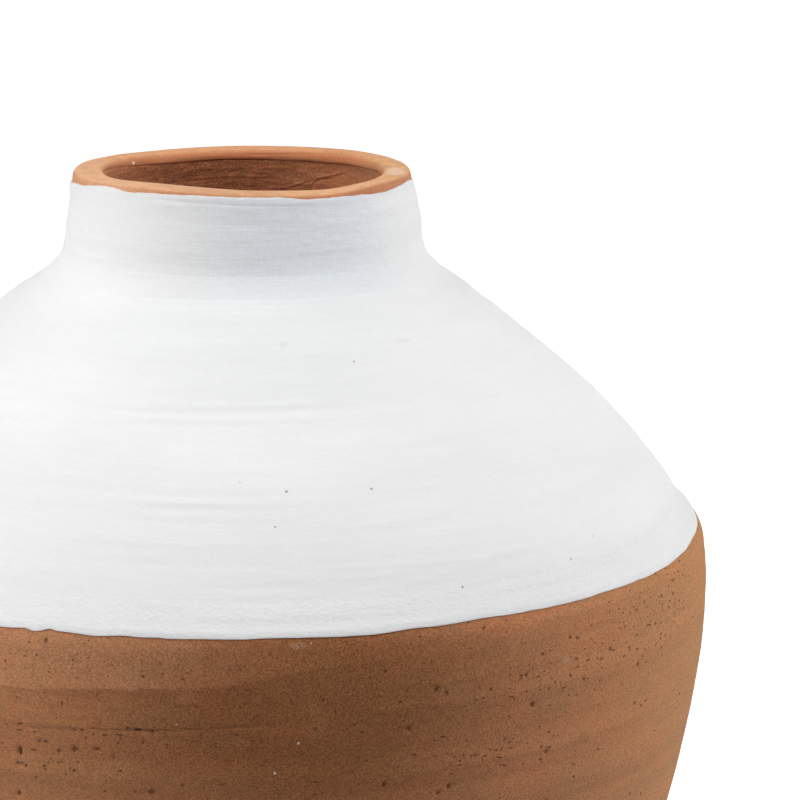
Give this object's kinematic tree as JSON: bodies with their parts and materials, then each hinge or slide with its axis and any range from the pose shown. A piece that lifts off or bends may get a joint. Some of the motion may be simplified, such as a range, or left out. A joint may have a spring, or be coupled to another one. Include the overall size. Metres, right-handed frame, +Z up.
{
  "type": "storage jar",
  "caption": "Round-bellied terracotta storage jar with a short open neck, a thick rounded lip, a whitewashed neck and shoulder, and a raw clay belly and foot.",
  "frame": {"origin": "middle of the foot, on the ground", "axes": "+Z up along the jar's axis, out of the mouth; the picture looks along +Y with +X to its right"},
  "size_m": [0.32, 0.32, 0.332],
  "materials": {
    "terracotta": "raw fired terracotta, matte, wiped, with small open pits",
    "slip": "fired slip of the same clay, matte and fine",
    "whitewash": "matte chalky white, brushed on in level strokes"
  },
  "bodies": {
    "root": {"floor_disc": "terracotta", "floor_slip_joint": "slip", "lower_wall": "terracotta", "belly_slip_joint": "slip", "shoulder_wall": "terracotta", "neck_slip_joint": "slip", "neck_collar": "terracotta", "white_coat": "whitewash"}
  },
  "joints": []
}
